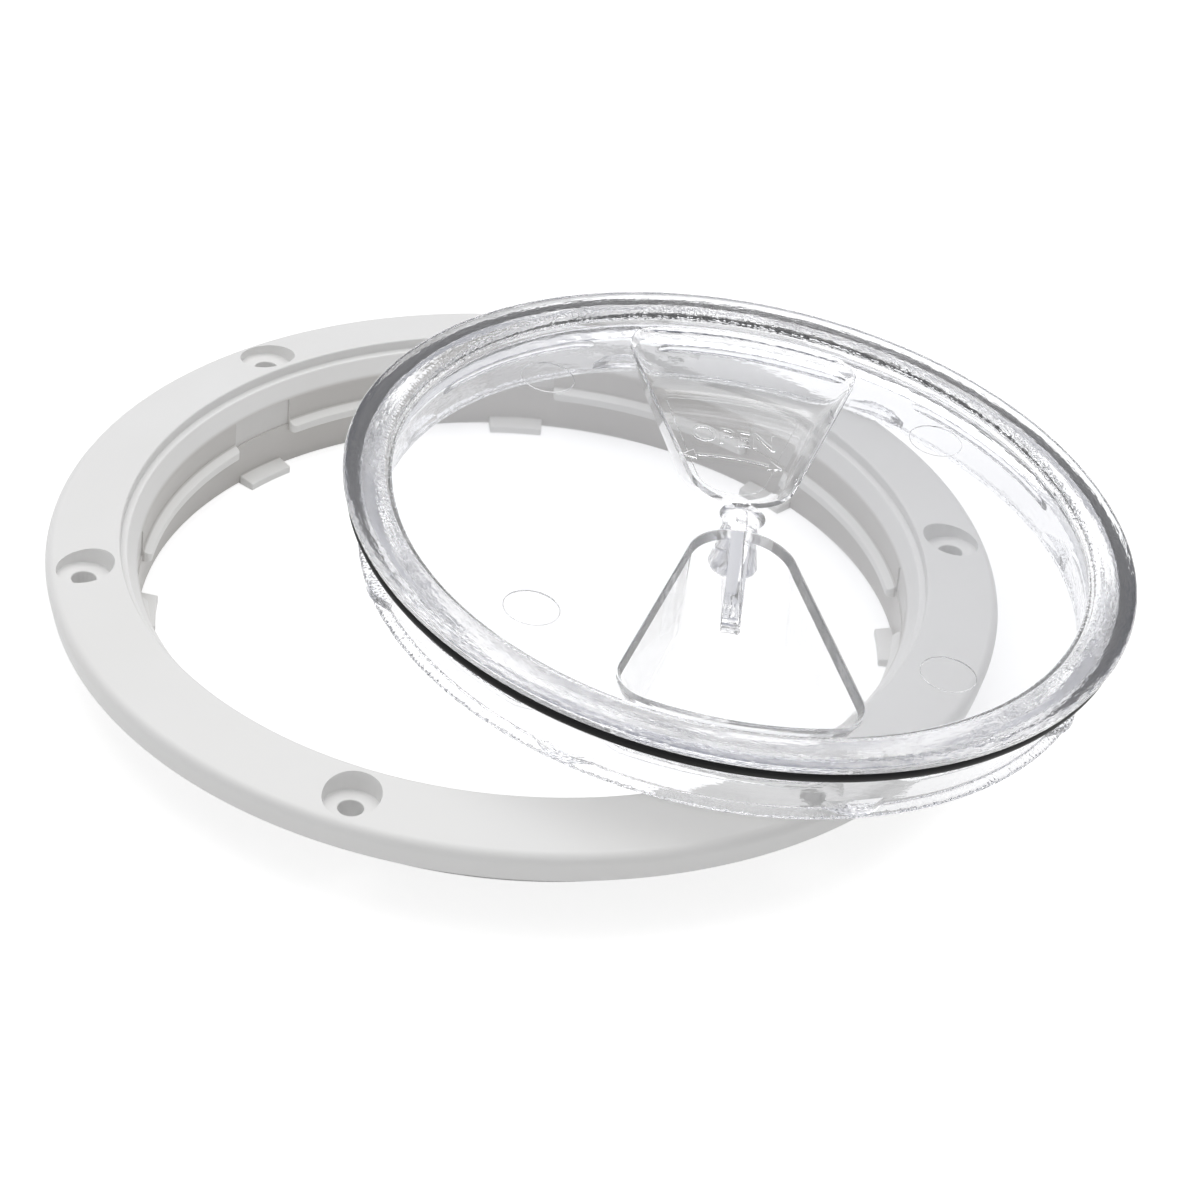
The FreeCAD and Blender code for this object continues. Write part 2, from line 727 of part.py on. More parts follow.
def lid_at_rest():
    """Place of the opened lid: its foot touches the flange at two pairs of points.

    The flange falls away outwards, so it is the inner edge of the foot's flat that touches.
    One pair is on the recess's edge and one at the flange's outer edge. Both lie on the top
    cone, so the tilt comes from how far the cone falls between them.
    """
    foot = foot_inside.value
    shift = size["lid_shift"].value
    near = recess_radius.value
    far = flange_radius.value - size["edge_bevel"].value
    fall = size["flange_slope"].value * (far - near)
    tilt = 0.0

    def reach_along(radius):
        """How far along the shift the tilted foot circle crosses a radius of the ring."""
        low = -foot
        high = foot
        while high - low > 1e-9:
            middle = (low + high) / 2
            across = foot**2 - middle**2
            crossing = (shift + middle * math.cos(tilt)) ** 2 + across
            if crossing < radius**2:
                low = middle
            else:
                high = middle
        return low

    for _ in range(20):
        near_along = reach_along(near)
        far_along = reach_along(far)
        tilt = math.asin(fall / (far_along - near_along))
    centre_level = flange_top.value + near_along * math.sin(tilt) + size["rest_gap"].value
    heading = Rotation(Vector(0, 0, 1), size["lid_azimuth"].value)
    lean = Rotation(Vector(0, 1, 0), math.degrees(tilt))
    own_turn = Rotation(Vector(0, 0, 1), size["lid_turn"].value)
    foot_centre = heading.multVec(Vector(shift, 0, 0)) + Vector(0, 0, centre_level)
    normal = (heading * lean).multVec(Vector(0, 0, 1))
    rim_centre = foot_centre + normal * size["skirt_depth"].value
    return Placement(rim_centre, heading * lean * own_turn)


ring = make_ring()
lid = make_lid()
seal = make_seal()
ring.Placement = Placement(Vector(0, 0, 0), Rotation())
lid.Placement = lid_at_rest()
seal.Placement = lid_at_rest()
doc.recompute()

for item in doc.Objects:
    if "Invalid" in item.State or "Error" in item.State:
        raise RuntimeError(item.Name + " did not build: " + str(item.State))

os.makedirs("parts", exist_ok=True)
for piece in (ring, lid, seal):
    if piece.Shape.isNull() or not piece.Shape.isValid():
        raise RuntimeError(piece.Label + " is not a valid solid")
    piece.Shape.exportStep("parts/" + piece.Label + ".step")
    box = piece.Shape.BoundBox
    print(
        piece.Label,
        len(piece.Shape.Solids),
        "solid,",
        round(piece.Shape.Volume / 1000, 1),
        "cm3, z",
        round(box.ZMin, 2),
        "to",
        round(box.ZMax, 2),
    )
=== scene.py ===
# %% [markdown]
# A round deck inspection plate. A white ring is screwed over a hole in a boat's deck. A clear
# lid with a black seal closes the ring, and here the lid has been lifted out and leans on the
# ring's far side. The measured model of the three pieces comes in first. It says where each
# piece lies and how large it may be, and everything below is shaped inside it.

# %% Load the measured model
import math

import bmesh
import bpy
from mathutils import Matrix, Vector


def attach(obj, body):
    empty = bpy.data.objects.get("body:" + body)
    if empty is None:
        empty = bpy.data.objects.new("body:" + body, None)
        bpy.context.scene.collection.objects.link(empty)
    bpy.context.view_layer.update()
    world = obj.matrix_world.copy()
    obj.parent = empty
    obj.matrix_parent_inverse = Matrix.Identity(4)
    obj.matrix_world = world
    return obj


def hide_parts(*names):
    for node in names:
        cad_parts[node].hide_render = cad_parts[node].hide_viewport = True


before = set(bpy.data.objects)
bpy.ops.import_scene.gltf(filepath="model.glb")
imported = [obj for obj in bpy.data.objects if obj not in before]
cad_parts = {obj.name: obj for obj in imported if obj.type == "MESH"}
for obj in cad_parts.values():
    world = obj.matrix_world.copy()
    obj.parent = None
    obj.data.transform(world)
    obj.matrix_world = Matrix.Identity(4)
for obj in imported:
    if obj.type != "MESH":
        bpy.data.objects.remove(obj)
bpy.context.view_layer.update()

print("measured pieces:", sorted(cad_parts))

# %% [markdown]
# All three pieces are bodies of revolution with details added, so the same few helpers make
# them. Lengths are typed in millimetres, as a maker would read them off a drawing, and each
# finished piece is brought to metres at the end. A section is a circle primitive whose points
# are pulled to the corners of the drawing. Spinning it gives perfectly round surfaces, which
# matters here because clear plastic shows every flat facet. Angles are in degrees.

# %% Small helpers for selecting and finishing
TO_METRES = 0.001
ROUND_STEPS = 240
TINY = 0.0005


def leave_edit():
    """Back to object mode with nothing selected."""
    if bpy.context.object and bpy.context.object.mode != "OBJECT":
        bpy.ops.object.mode_set(mode="OBJECT")
    bpy.ops.object.select_all(action="DESELECT")


def hold(piece):
    """Select one piece alone and make it the active one."""
    leave_edit()
    piece.select_set(True)
    bpy.context.view_layer.objects.active = piece


def pick(piece, kind, wanted):
    """In edit mode, select the vertices, edges or faces that wanted() says yes to."""
    hold(piece)
    bpy.ops.object.mode_set(mode="EDIT")
    bpy.ops.mesh.select_mode(type=kind)
    bpy.ops.mesh.select_all(action="DESELECT")
    net = bmesh.from_edit_mesh(piece.data)
    items = {"VERT": net.verts, "EDGE": net.edges, "FACE": net.faces}[kind]
    count = 0
    for item in items:
        if wanted(item):
            item.select_set(True)
            count += 1
    bmesh.update_edit_mesh(piece.data)
    return count


def tidy_mesh(piece):
    """Merge doubled points, drop loose ones and point every face outwards."""
    hold(piece)
    bpy.ops.object.mode_set(mode="EDIT")
    bpy.ops.mesh.select_all(action="SELECT")
    bpy.ops.mesh.remove_doubles(threshold=TINY)
    bpy.ops.mesh.delete_loose()
    bpy.ops.mesh.select_all(action="SELECT")
    bpy.ops.mesh.normals_make_consistent(inside=False)
    leave_edit()


def open_edges(piece):
    """How many edges don't have exactly two faces. A closed solid has none."""
    net = bmesh.new()
    net.from_mesh(piece.data)
    count = sum(1 for edge in net.edges if not edge.is_manifold)
    net.free()
    return count


# %% Helpers that draw and turn a section
def draw_outline(name, places):
    """A closed wire through the places: a circle primitive with its points pulled there."""
    leave_edit()
    bpy.ops.mesh.primitive_circle_add(vertices=len(places), fill_type="NOTHING")
    wire = bpy.context.object
    wire.name = name
    for point, place in zip(wire.data.vertices, places):
        point.co = place
    return wire


def draw_section(name, corners, azimuth=0.0):
    """A section in the upright plane at an azimuth. A corner is (radius, height, setback)."""
    turn = Matrix.Rotation(azimuth, 3, "Z")
    places = [turn @ Vector((radius, 0, height)) for radius, height, _ in corners]
    wire = draw_outline(name, places)
    for setback in sorted({corner[2] for corner in corners if corner[2]}):
        spots = [place for place, corner in zip(places, corners) if corner[2] == setback]
        pick(wire, "VERT", lambda v: any((v.co - spot).length < TINY for spot in spots))
        bpy.ops.mesh.bevel(affect="VERTICES", offset=setback, segments=5, profile=0.5)
    leave_edit()
    return wire


def spin_round(wire, steps=ROUND_STEPS):
    """Turn a closed section all the way round the upright axis."""
    hold(wire)
    bpy.ops.object.mode_set(mode="EDIT")
    bpy.ops.mesh.select_all(action="SELECT")
    bpy.ops.mesh.spin(steps=steps, angle=2 * math.pi, center=(0, 0, 0), axis=(0, 0, 1))
    tidy_mesh(wire)
    return wire


def close_holes(piece):
    """Put a face over every open loop."""
    hold(piece)
    bpy.ops.object.mode_set(mode="EDIT")
    bpy.ops.mesh.select_mode(type="EDGE")
    bpy.ops.mesh.select_all(action="DESELECT")
    bpy.ops.mesh.select_non_manifold()
    bpy.ops.mesh.fill_holes(sides=0)
    tidy_mesh(piece)


def spin_sector(name, corners, middle, width, steps=None):
    """Turn a section through part of a turn, and close both ends.

    The spin operator turns clockwise seen from above, so it starts at the far end.
    """
    start = math.radians(middle + width / 2)
    wire = draw_section(name, corners, start)
    hold(wire)
    bpy.ops.object.mode_set(mode="EDIT")
    bpy.ops.mesh.select_all(action="SELECT")
    count = steps or max(2, round(ROUND_STEPS * width / 360))
    bpy.ops.mesh.spin(steps=count, angle=math.radians(width), center=(0, 0, 0), axis=(0, 0, 1))
    close_holes(wire)
    return wire


def copies_round(piece, count):
    """Copy a piece round the upright axis and join the copies into one object."""
    group = [piece]
    for number in range(1, count):
        hold(piece)
        bpy.ops.object.duplicate(linked=False)
        copy = bpy.context.object
        copy.rotation_euler.z = number * 2 * math.pi / count
        bpy.ops.object.transform_apply(location=False, rotation=True, scale=False)
        group.append(copy)
    leave_edit()
    for copy in group:
        copy.select_set(True)
    bpy.context.view_layer.objects.active = piece
    bpy.ops.object.join()
    leave_edit()
    return piece


def combine(piece, tool, kind):
    """Add a tool to a piece or cut it away, with a Boolean modifier that is applied."""
    hold(piece)
    modifier = piece.modifiers.new(kind.lower(), "BOOLEAN")
    modifier.operation = kind
    modifier.object = tool
    modifier.solver = "EXACT"
    bpy.ops.object.modifier_apply(modifier=modifier.name)
    bpy.data.objects.remove(tool, do_unlink=True)
    leave_edit()


def soften_edges(piece, width, segments, angle):
    """Round a small piece's sharp edges with a Bevel modifier that is applied."""
    hold(piece)
    modifier = piece.modifiers.new("edges", "BEVEL")
    modifier.width = width
    modifier.segments = segments
    modifier.limit_method = "ANGLE"
    modifier.angle_limit = math.radians(angle)
    bpy.ops.object.modifier_apply(modifier=modifier.name)
    leave_edit()


def finish_surface(piece, angle):
    """Smooth shading that keeps the flats flat, then a mesh in metres."""
    hold(piece)
    bpy.ops.object.shade_smooth_by_angle(angle=math.radians(angle))
    modifier = piece.modifiers.new("flats", "WEIGHTED_NORMAL")
    modifier.keep_sharp = True
    bpy.ops.object.modifier_apply(modifier=modifier.name)
    piece.data.transform(Matrix.Scale(TO_METRES, 4))
    piece.data.update()
    leave_edit()


# %% [markdown]
# The ring is one white moulding. Its section is spun first: a flange that slopes down to its
# edge, a step and a ledge for the lid's rim, a conical seat for the seal, and a collar that
# goes down through the deck. Its edges have the small rounds of a moulding. They are made in
# the section, where a round is only a few more points, rather than on the finished ring. Each
# corner says its radius, its height and how far its round sets back.

# %% Spin the ring
flange_slope = 0.196
recess_edge = 87.1
flange_top = 10.1


def flange_level(radius):
    """Height of the flange's sloping top at a radius."""
    return flange_top - flange_slope * (radius - recess_edge)


flange_edge = 103.5
ledge_level = 7.7
collar_outside = 86.0
collar_bore = 83.0
collar_foot = -13.2
ring_corners = (
    (collar_outside, collar_foot, 0.8),
    (collar_bore, collar_foot, 0.8),
    (collar_bore, 3.6, 0.5),
    (85.6, ledge_level, 0.3),
    (recess_edge, ledge_level, 0.3),
    (recess_edge, flange_top, 0.5),
    (flange_edge, flange_level(flange_edge), 2.4),
    (102.0, 0.0, 0.5),
    (collar_outside, 0.0, 0.5),
)
ring = spin_round(draw_section("ring_body", ring_corners))
print("ring section spun, open edges:", open_edges(ring))

# %% [markdown]
# Under the flange a moulding of this kind is hollow, with thin webs and a boss round each
# screw, so that its walls cool evenly. The hollow is cut as twelve sectors, and what is left
# between two of them is a web. The cutter is turned in twenty steps because then none of its
# upright edges falls on one of the ring's own, where a cut would leave slivers.

# %% Hollow the flange, leave webs and add bosses
SCREWS = 6
WEBS = 12
CORE_STEPS = 20
screw_turn = 12.7
web_pitch = 360 / WEBS
web_width = 1.3
roof = 3.0
core_inside, core_outside = 89.5, 100.5
core_corners = (
    (core_inside, -1.0, 0),
    (99.0, -1.0, 0),
    (core_outside, flange_level(core_outside) - roof, 0.8),
    (core_inside, flange_level(core_inside) - roof, 0.8),
)
core_middle = screw_turn + web_pitch / 2
core = spin_sector("core", core_corners, core_middle, web_pitch - web_width, CORE_STEPS)
combine(ring, copies_round(core, WEBS), "DIFFERENCE")

screw_radius = 95.0
screw_turn_angle = math.radians(screw_turn)
screw_x = screw_radius * math.cos(screw_turn_angle)
screw_y = screw_radius * math.sin(screw_turn_angle)


def upright_disc(name, radius, low, high, place, steps=64):
    """A short cylinder that stands at a place, from one height to another."""
    leave_edit()
    middle = (*place, (low + high) / 2)
    bpy.ops.mesh.primitive_cylinder_add(
        vertices=steps, radius=radius, depth=high - low, location=middle
    )
    disc = bpy.context.object
    disc.name = name
    bpy.ops.object.transform_apply(location=True, rotation=False, scale=False)
    return disc


boss = upright_disc("boss", 6.4, 0.02, 6.9, (screw_x, screw_y))
combine(ring, copies_round(boss, SCREWS), "UNION")
print("flange cored, open edges:", open_edges(ring))

# %% [markdown]
# Inside the collar are eight ribs with gaps between them, and a stop tab under each gap. The
# lid's lugs pass down the gaps and turn under the ribs. One rib and one tab are turned through
# their own width, rounded and copied round. Ribs and slots stop a hair short of the ring's own
# upright edges, for the same reason as above.

# %% Ribs, tabs and the shallow slots over the gaps
RIBS = 8
SPARE_TURN = 0.05
rib_middle = 27.3
rib_pitch = 360 / RIBS
gap_width = 11.4
rib_face = 81.0
gap_middle = rib_middle + rib_pitch / 2
rib_corners = ((84.5, -4.4, 0), (84.5, -0.68, 0), (rib_face, -2.6, 0), (rib_face, -4.4, 0))
rib_width = rib_pitch - gap_width - SPARE_TURN
rib = spin_sector("rib", rib_corners, rib_middle, rib_width)
rib_end = rib_width / 2


def at_rib_end(edge):
    """True for the upright edges at the two ends of the rib's inner face."""
    middle = (edge.verts[0].co + edge.verts[1].co) / 2
    tall = abs(edge.verts[0].co.z - edge.verts[1].co.z) > 1
    off = abs(math.degrees(math.atan2(middle.y, middle.x)) - rib_middle)
    return tall and abs(middle.xy.length - rib_face) < 0.1 and abs(off - rib_end) < 0.1


rounded = pick(rib, "EDGE", at_rib_end)
bpy.ops.mesh.bevel(affect="EDGES", offset=1.2, segments=6, profile=0.5)
soften_edges(rib, 0.25, 3, 50)
combine(ring, copies_round(rib, RIBS), "UNION")

tab_width = 8.6
tab_corners = (
    (84.5, -12.2, 0),
    (84.5, -10.71, 0),
    (79.0, -11.4, 0),
    (79.0, -13.15, 0),
    (84.5, -13.15, 0),
)
tab = spin_sector("tab", tab_corners, gap_middle, tab_width)
soften_edges(tab, 0.3, 3, 50)
combine(ring, copies_round(tab, RIBS), "UNION")

slot_corners = ((82.0, -2.6, 0), (83.35, -2.6, 0), (83.35, 3.95, 0), (82.0, 3.95, 0))
slot = spin_sector("slot", slot_corners, gap_middle, gap_width - SPARE_TURN)
combine(ring, copies_round(slot, RIBS), "DIFFERENCE")
print("rounded rib edges:", rounded, "open edges:", open_edges(ring))

# %% [markdown]
# Six screws hold the ring down. Each hole has a wide flat-bottomed recess for the screw's
# head, with a soft edge at the top and a cove at the bottom. The cutter is itself a turned
# piece with that profile, so one cut leaves both rounds.

# %% Cut the screw holes
head_sink = 3.2
head_level = flange_level(screw_radius) - head_sink
hole_radius = 2.65
head_corners = (
    (0.0, head_level - 12, 0),
    (hole_radius, head_level - 12, 0),
    (hole_radius, head_level, 0.3),
    (6.0, head_level, 0.25),
    (6.0, head_level + 3.0, 0),
    (6.5, head_level + 4.2, 0),
    (6.5, head_level + 6, 0),
    (0.0, head_level + 6, 0),
)
cutter = spin_round(draw_section("screw_cutter", head_corners), 64)
cutter.data.transform(Matrix.Translation((screw_x, screw_y, 0)))
combine(ring, copies_round(cutter, SCREWS), "DIFFERENCE")
finish_surface(ring, 35)
ring.name = "ring_moulding"
print("ring faces:", len(ring.data.polygons), "open edges:", open_edges(ring))

# %% [markdown]
# The lid is one clear moulding, shaped here in its own upright frame with its plate's top at
# height zero. The section runs from the plate's edge through a fine groove, over the raised
# band of the rim, into the seal's groove and down the skirt to the bead at its foot. The
# plate's two flat sides are left out of the section. After the spin each is closed with one
# face, so that the clear window has no seams in it.

# %% Spin the lid
CROWN_STEPS = 28
CROWN_RISE = 1.71
CROWN_FULLNESS = 0.78
band_start = 76.8
rim_edge = 86.18
plate_thickness = 3.0
window_seam = 60.0


def crown_points():
    """The rim's raised band: a full half oval from the fine groove to the rim's edge."""
    half = (rim_edge - band_start) / 2
    points = []
    for step in range(1, CROWN_STEPS):
        angle = math.pi * (1 - step / CROWN_STEPS)
        across = math.copysign(abs(math.cos(angle)) ** CROWN_FULLNESS, math.cos(angle))
        height = CROWN_RISE * math.sin(angle) ** CROWN_FULLNESS
        points.append((band_start + half + half * across, height, 0))
    return points


lid_corners = (
    [(window_seam, 0.0, 0), (75.8, 0.0, 0), (76.35, -0.6, 0), (band_start, 0.0, 0)]
    + crown_points()
    + [
        (rim_edge, 0.0, 0.3),
        (85.4, -1.8, 0.3),
        (81.98, -1.8, 0.3),
        (81.98, -5.0, 0.3),
        (82.7, -5.2, 0.15),
        (82.7, -6.1, 0.3),
        (78.6, -8.1, 0.6),
        (78.6, -16.1, 0.2),
        (80.4, -16.4, 0.6),
        (80.4, -17.7, 0.6),
        (79.3, -17.7, 0.2),
        (76.4, -16.4, 0.5),
        (76.4, -plate_thickness, 0.8),
        (window_seam, -plate_thickness, 0),
    ]
)
lid = draw_section("lid_body", lid_corners)


def on_seam(edge):
    """True for the section's edge through the plate, which the window doesn't need."""
    return all(abs(v.co.x - window_seam) < TINY for v in edge.verts)


pick(lid, "EDGE", on_seam)
bpy.ops.mesh.delete(type="EDGE")
spin_round(lid)
close_holes(lid)


def on_plate(face):
    """True for the faces that lie in the plate's two flat sides."""
    level = face.calc_center_median().z
    flat = abs(face.normal.z) > 0.9999
    return flat and (abs(level) < TINY or abs(level + plate_thickness) < TINY)


pick(lid, "FACE", on_plate)
bpy.ops.mesh.dissolve_limited(angle_limit=math.radians(0.1))
leave_edit()
print("lid section spun:", len(lid.data.polygons), "faces, open edges:", open_edges(lid))

# %% [markdown]
# On the skirt are a broken guide bead, which keeps the lid central between the ring's ribs,
# and eight lugs in the breaks of the bead, which turn under the ribs and hold the lid down.
# The ends of the bead and of the lugs are drawn in towards the skirt, step by step.

# %% Guide bead and lugs
lug_middle = 19.5
LUG_WIDTH = 10.4
LUG_STEPS = 12
bead_corners = (
    (77.5, -8.1, 0),
    (80.4, -8.1, 0.85),
    (80.4, -9.9, 0.85),
    (77.5, -9.9, 0),
)
bead_middle = lug_middle + rib_pitch / 2
bead_width = rib_pitch - gap_width
bead = spin_sector("bead", bead_corners, bead_middle, bead_width)
bead_end = bead_width / 2
bead_step = 1.527


def ease_end(piece, middle, reach, draw_in):
    """Draw in a sector's outer points that stand at an angle on either side of its middle."""

    def there(point):
        off = abs(math.degrees(math.atan2(point.co.y, point.co.x)) - middle)
        return point.co.xy.length > 79 and abs(off - reach) < 0.1

    pick(piece, "VERT", there)
    bpy.ops.transform.resize(value=(draw_in, draw_in, 1.0), center_override=(0, 0, 0))


ease_end(bead, bead_middle, bead_end, 0.978)
ease_end(bead, bead_middle, bead_end - bead_step, 0.991)
soften_edges(bead, 0.2, 3, 50)
combine(lid, copies_round(bead, RIBS), "UNION")
lug_corners = ((77.5, -14.1, 0), (81.4, -14.1, 0), (81.4, -16.1, 0), (77.5, -16.1, 0))
lug = spin_sector("lug", lug_corners, lug_middle, LUG_WIDTH, LUG_STEPS)
for step, draw_in in ((6, 0.965), (5, 0.973), (4, 0.982), (3, 0.991), (2, 0.997)):
    ease_end(lug, lug_middle, step * LUG_WIDTH / LUG_STEPS, draw_in)
soften_edges(lug, 0.4, 4, 50)
combine(lid, copies_round(lug, RIBS), "UNION")
print("bead and lugs joined, open edges:", open_edges(lid))

# %% [markdown]
# Two finger wells are the lid's handle: fingers go in on both sides of the middle and turn
# it. Each is a bowl whose mouth is a rounded fan and whose floor is a smaller fan further out,
# so its inner side is a shallow ramp. The bowl is extruded down level by level from its mouth,
# and each level is pulled on to its own outline. The same function makes the hollow and the
# outer wall, which is grown by its thickness and thicker under the ramp. The hollow also has a
# rounded floor and a soft lip. All the way round, the lip turns from the plate into the wall
# that meets it there, be it steep or shallow.

# %% Shape the finger wells
WELL_DEPTH = 13.2
WELL_WALL = 1.5
LIP_ROUND = 0.7
FLOOR_ROUND = 1.6
WELLS = 2
mouth_shape = {"nose": 11.6, "place": 17.0, "lean": 16.9, "reach": 72.6, "corner": 8.0}
floor_shape = {"nose": 11.7, "place": 35.7, "lean": 14.6, "reach": 67.2, "corner": 4.5}
shell_shape = {"nose": 10.4, "place": 12.9, "lean": 16.9, "reach": 72.6, "corner": 8.0}


def arc(centre, radius, first, last, steps):
    """Points along an arc, its last one left to the next stretch of the outline."""
    points = []
    for step in range(steps):
        angle = math.radians(first + (last - first) * step / steps)
        points.append(centre + radius * Vector((math.cos(angle), math.sin(angle))))
    return points


def fan_outline(shape, grow):
    """A fan with a round nose near the middle, straight sides and a wide rounded end."""
    lean = math.radians(shape["lean"])
    nose = shape["nose"] + grow
    corner = shape["corner"] + grow
    reach = shape["reach"] + grow
    along = Vector((math.sin(lean), math.cos(lean)))
    out = Vector((math.cos(lean), -math.sin(lean)))
    middle = Vector((0, shape["place"]))
    start = middle + out * (nose - corner)
    inner = reach - corner
    run = -start.dot(along) + math.sqrt(start.dot(along) ** 2 - start.dot(start) + inner**2)
    centre = start + along * run
    end_angle = math.degrees(math.atan2(centre.y, centre.x))
    points = arc(middle, nose, -90, -shape["lean"], 16)
    side_start = middle + out * nose
    side_end = centre + out * corner
    points += [side_start.lerp(side_end, step / 8) for step in range(8)]
    points += arc(centre, corner, -shape["lean"], end_angle, 8)
    points += arc(Vector((0, 0)), reach, end_angle, 90, 10)
    left = [Vector((-point.x, point.y)) for point in points[1:]]
    return points + [Vector((0, reach))] + left[::-1]


def well_level(depth, floor_depth, grow, top=mouth_shape):
    """The well's outline at a depth, on the straight lines from mouth to floor."""
    share = depth / floor_depth
    pairs = zip(fan_outline(top, grow), fan_outline(floor_shape, grow))
    return [mouth.lerp(floor, share).to_3d() - Vector((0, 0, depth)) for mouth, floor in pairs]


def stack_levels(name, levels):
    """Extrude an outline from level to level and pull each new face on to its outline."""
    solid = draw_outline(name, levels[0])
    pick(solid, "VERT", lambda v: True)
    bpy.ops.mesh.edge_face_add()
    bpy.ops.mesh.select_mode(type="FACE")
    for before, after in zip(levels, levels[1:]):
        places = {tuple(round(c, 3) for c in old): new for old, new in zip(before, after)}
        bpy.ops.mesh.extrude_region()
        net = bmesh.from_edit_mesh(solid.data)
        for point in net.verts:
            if point.select:
                point.co = places[tuple(round(c, 3) for c in point.co)]
        bmesh.update_edit_mesh(solid.data)
    tidy_mesh(solid)
    return solid


def lip_level(share):
    """The outline part of the way round the lip, which turns from the plate to the wall."""
    level = []
    mouth = fan_outline(mouth_shape, 0)
    grown_mouth = fan_outline(mouth_shape, 1)
    for edge, grown, foot in zip(mouth, grown_mouth, fan_outline(floor_shape, 0)):
        outwards = grown - edge
        steepness = math.atan2(WELL_DEPTH, (edge - foot).dot(outwards))
        turn = share * steepness
        depth = LIP_ROUND * (1 - math.cos(turn))
        back = LIP_ROUND * (math.tan(steepness / 2) - math.sin(turn)) + depth / math.tan(steepness)
        place = edge.lerp(foot, depth / WELL_DEPTH) + back * outwards
        level.append(place.to_3d() - Vector((0, 0, depth)))
    return level


def well_hollow():
    """The cutter for one well, with a soft lip at the mouth and a rounded floor."""
    levels = [lip_level(share) for share in (0.12, 0.3, 0.5, 0.75, 1.0)]
    levels.insert(0, [point + Vector((0, 0, 2)) for point in levels[0]])
    for angle in (0, 15, 30, 45, 60, 75, 90):
        turn = math.radians(angle)
        depth = WELL_DEPTH - FLOOR_ROUND * (1 - math.sin(turn))
        levels.append(well_level(depth, WELL_DEPTH, -FLOOR_ROUND * (1 - math.cos(turn))))
    return stack_levels("well_hollow", levels)


def well_shell():
    """The outside of one well, grown by the wall and rounded round its floor."""
    depth_all = WELL_DEPTH + WELL_WALL
    corner = FLOOR_ROUND + 0.9
    levels = [well_level(plate_thickness / 2, depth_all, WELL_WALL, shell_shape)]
    for angle in (0, 18, 36, 54, 72, 90):
        turn = math.radians(angle)
        depth = depth_all - corner * (1 - math.sin(turn))
        grow = WELL_WALL - corner * (1 - math.cos(turn))
        levels.append(well_level(depth, depth_all, grow, shell_shape))
    return stack_levels("well_shell", levels)


combine(lid, copies_round(well_shell(), WELLS), "UNION")
print("well shells joined, open edges:", open_edges(lid))

# %% [markdown]
# Under the plate a keel runs from well to well and crosses a hub that widens downwards. They
# stiffen the middle, where a hand twists the lid.

# %% Keel and hub
KEEL_WIDTH, KEEL_LENGTH = 4.4, 70.0
KEEL_TOP, KEEL_FOOT = -1.5, -14.5
leave_edit()
bpy.ops.mesh.primitive_cube_add(size=1, location=(0, 0, (KEEL_TOP + KEEL_FOOT) / 2))
keel = bpy.context.object
keel.name = "keel"
keel.scale = (KEEL_WIDTH, KEEL_LENGTH, KEEL_TOP - KEEL_FOOT)
bpy.ops.object.transform_apply(location=True, rotation=False, scale=True)
soften_edges(keel, 0.4, 4, 50)
combine(lid, keel, "UNION")
hub_corners = (
    (0.0, -1.5, 0),
    (3.4, -1.5, 0),
    (3.4, -plate_thickness, 0.8),
    (5.9, -13.0, 0.6),
    (0.0, -13.0, 0),
)
combine(lid, spin_round(draw_section("hub", hub_corners), 96), "UNION")
combine(lid, copies_round(well_hollow(), WELLS), "DIFFERENCE")
print("keel, hub and wells done, open edges:", open_edges(lid))

# %% [markdown]
# The mould leaves its own marks. In the middle is a shallow dimple with the stub of the gate
# where the plastic flowed in. Under the plate are four round marks of the pins that push the
# lid out of the mould. They are only a third of a millimetre deep, but clear plastic shows
# their edges as fine rings.

# %% Dimple, gate stub and pin marks
PINS = 4
PIN_CIRCLE = 61.8
PIN_RADIUS = 6.0
PIN_SINK = 0.35
dimple_corners = ((1.2, 1.0, 0), (5.6, 1.0, 0), (4.3, -1.1, 0.5), (1.2, -1.1, 0))
combine(lid, spin_round(draw_section("dimple", dimple_corners), 96), "DIFFERENCE")
pin_place = PIN_CIRCLE * math.sqrt(0.5)
pin_levels = (-plate_thickness - 0.9, -plate_thickness + PIN_SINK)
mark = upright_disc("pin_mark", PIN_RADIUS, *pin_levels, (pin_place, pin_place), 96)
soften_edges(mark, 0.16, 3, 50)
combine(lid, copies_round(mark, PINS), "DIFFERENCE")
print("mould marks cut, open edges:", open_edges(lid))

# %% [markdown]
# The floor of the far well says which way to turn the lid, in plain raised letters over a
# curved arrow with two heads, both on a low pad. The word is a text object made into a mesh.
# The arrow's shaft is turned like the other arcs, and its heads are three-sided cylinders.

# %% Raised word and arrow
WELL_FLOOR = -WELL_DEPTH
PAD_RISE = 0.25
MARK_RISE = 0.55
SINK = 0.3
ARROW_RADIUS = 41.4
ARROW_WIDTH = 26.0
pad_levels = [
    well_level(WELL_DEPTH - PAD_RISE, WELL_DEPTH, -3.6),
    well_level(WELL_DEPTH + SINK, WELL_DEPTH, -3.3),
]
combine(lid, stack_levels("mark_pad", pad_levels), "UNION")
leave_edit()
bpy.ops.object.text_add(location=(0.3, 46.6, WELL_FLOOR - SINK))
word = bpy.context.object
word.data.body = "OPEN"
word.data.align_x = "CENTER"
word.data.size = 9.0
word.data.extrude = SINK + MARK_RISE
word.data.resolution_u = 6
bpy.ops.object.convert(target="MESH")
word.scale = (0.84, 0.98, 1.0)
bpy.ops.object.transform_apply(location=True, rotation=False, scale=True)
tidy_mesh(word)
combine(lid, word, "UNION")
shaft_corners = (
    (ARROW_RADIUS - 0.5, WELL_FLOOR - SINK, 0),
    (ARROW_RADIUS + 0.5, WELL_FLOOR - SINK, 0),
    (ARROW_RADIUS + 0.3, WELL_FLOOR + MARK_RISE, 0),
    (ARROW_RADIUS - 0.3, WELL_FLOOR + MARK_RISE, 0),
)
